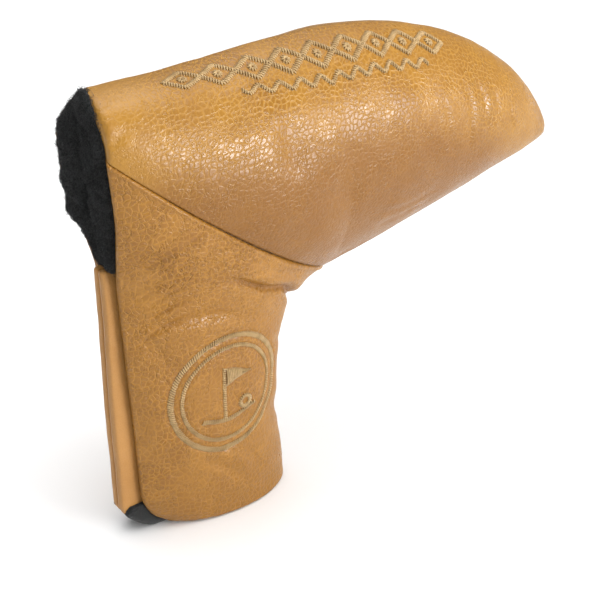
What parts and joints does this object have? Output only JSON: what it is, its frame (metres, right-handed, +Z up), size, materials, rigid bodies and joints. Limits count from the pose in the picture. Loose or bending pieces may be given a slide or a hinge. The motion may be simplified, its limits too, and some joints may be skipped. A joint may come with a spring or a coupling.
{
  "type": "putter head cover",
  "caption": "L-shaped leather cover for a blade putter head, fur lined, with an open heel, a shaft sleeve and a hook-and-loop closure down its back.",
  "frame": {"origin": "centre of the shaft opening, in the plane of the leg's lower hem", "axes": "+X towards the toe of the head pocket, +Z up through the pocket to the sole side, -Y towards the near side that carries the badge"},
  "size_m": [0.16, 0.0382, 0.1339],
  "materials": {
    "tan_leather": "pebbled grain, semi-gloss",
    "leg_leather": "pebbled grain with soft wrinkles, semi-gloss",
    "strip_leather": "smooth, satin",
    "fur": "black faux fur pile",
    "hook_loop": "woven tape with hooks and loops",
    "seam_thread": "bonded sewing thread",
    "embroidery_thread": "matte embroidery thread"
  },
  "bodies": {
    "cover": {"upper_shell": "tan_leather", "leg_shell": "leg_leather", "upper_lining": "fur", "leg_lining": "fur", "near_seam_thread": "seam_thread", "far_seam_thread": "seam_thread", "toe_seam_thread": "seam_thread", "sole_embroidery": "embroidery_thread", "badge_front_stitches": "embroidery_thread"},
    "near_wing": {"near_leg_wing": "leg_leather", "near_wing_lining": "fur", "near_strip": "strip_leather", "hook_tape": "hook_loop", "near_strip_stitches": "seam_thread", "badge_back_stitches": "embroidery_thread"},
    "far_wing": {"far_leg_wing": "leg_leather", "far_wing_lining": "fur", "far_strip": "strip_leather", "loop_tape": "hook_loop", "far_strip_stitches": "seam_thread"}
  },
  "joints": [
    {"name": "near_wing_fold", "type": "hinge", "parent": "cover", "child": "near_wing", "pos_m": [0.017, -0.0129, 0], "axis": [-0.357, 0, 0.9341], "range_deg": [0, 40]},
    {"name": "far_wing_fold", "type": "hinge", "parent": "cover", "child": "far_wing", "pos_m": [0.017, 0.0123, 0], "axis": [0.3569, -0.0225, -0.9339], "range_deg": [0, 40]}
  ]
}
